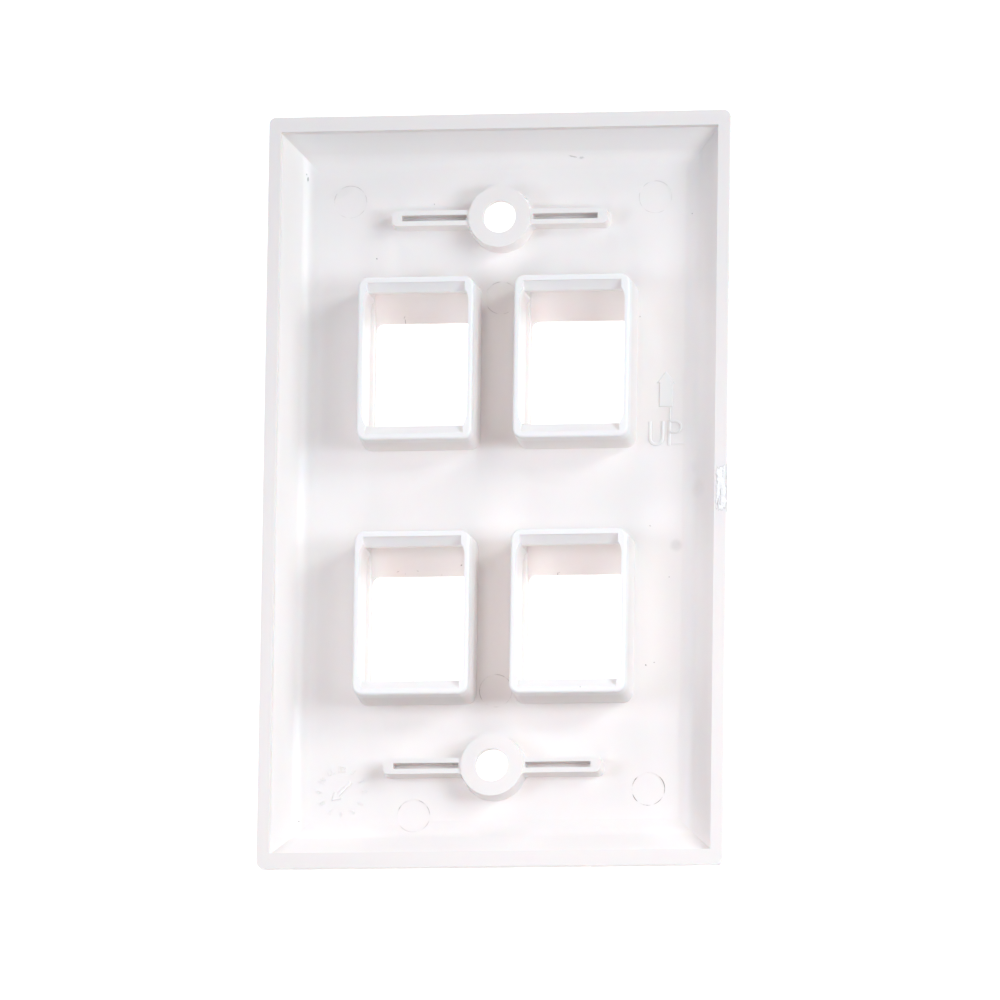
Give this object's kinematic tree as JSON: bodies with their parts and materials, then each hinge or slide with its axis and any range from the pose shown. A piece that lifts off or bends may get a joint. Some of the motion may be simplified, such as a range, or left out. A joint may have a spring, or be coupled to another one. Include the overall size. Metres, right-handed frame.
{
  "type": "keystone faceplate",
  "caption": "Single-gang keystone faceplate moulded in white ABS: a shallow pan with a level rim and bevelled sides, snap-in frames for keystone connectors and slotted screw bosses.",
  "frame": {"origin": "centre of the flat front face, which the plate lies on", "axes": "+Z from the front face to the wall side, +Y to the plate's top edge, +X to the right as the wall side is seen"},
  "size_m": [0.0698, 0.1142, 0.0098],
  "materials": {
    "white_abs": "glossy moulded ABS"
  },
  "bodies": {
    "root": {"faceplate": "white_abs"}
  },
  "joints": []
}
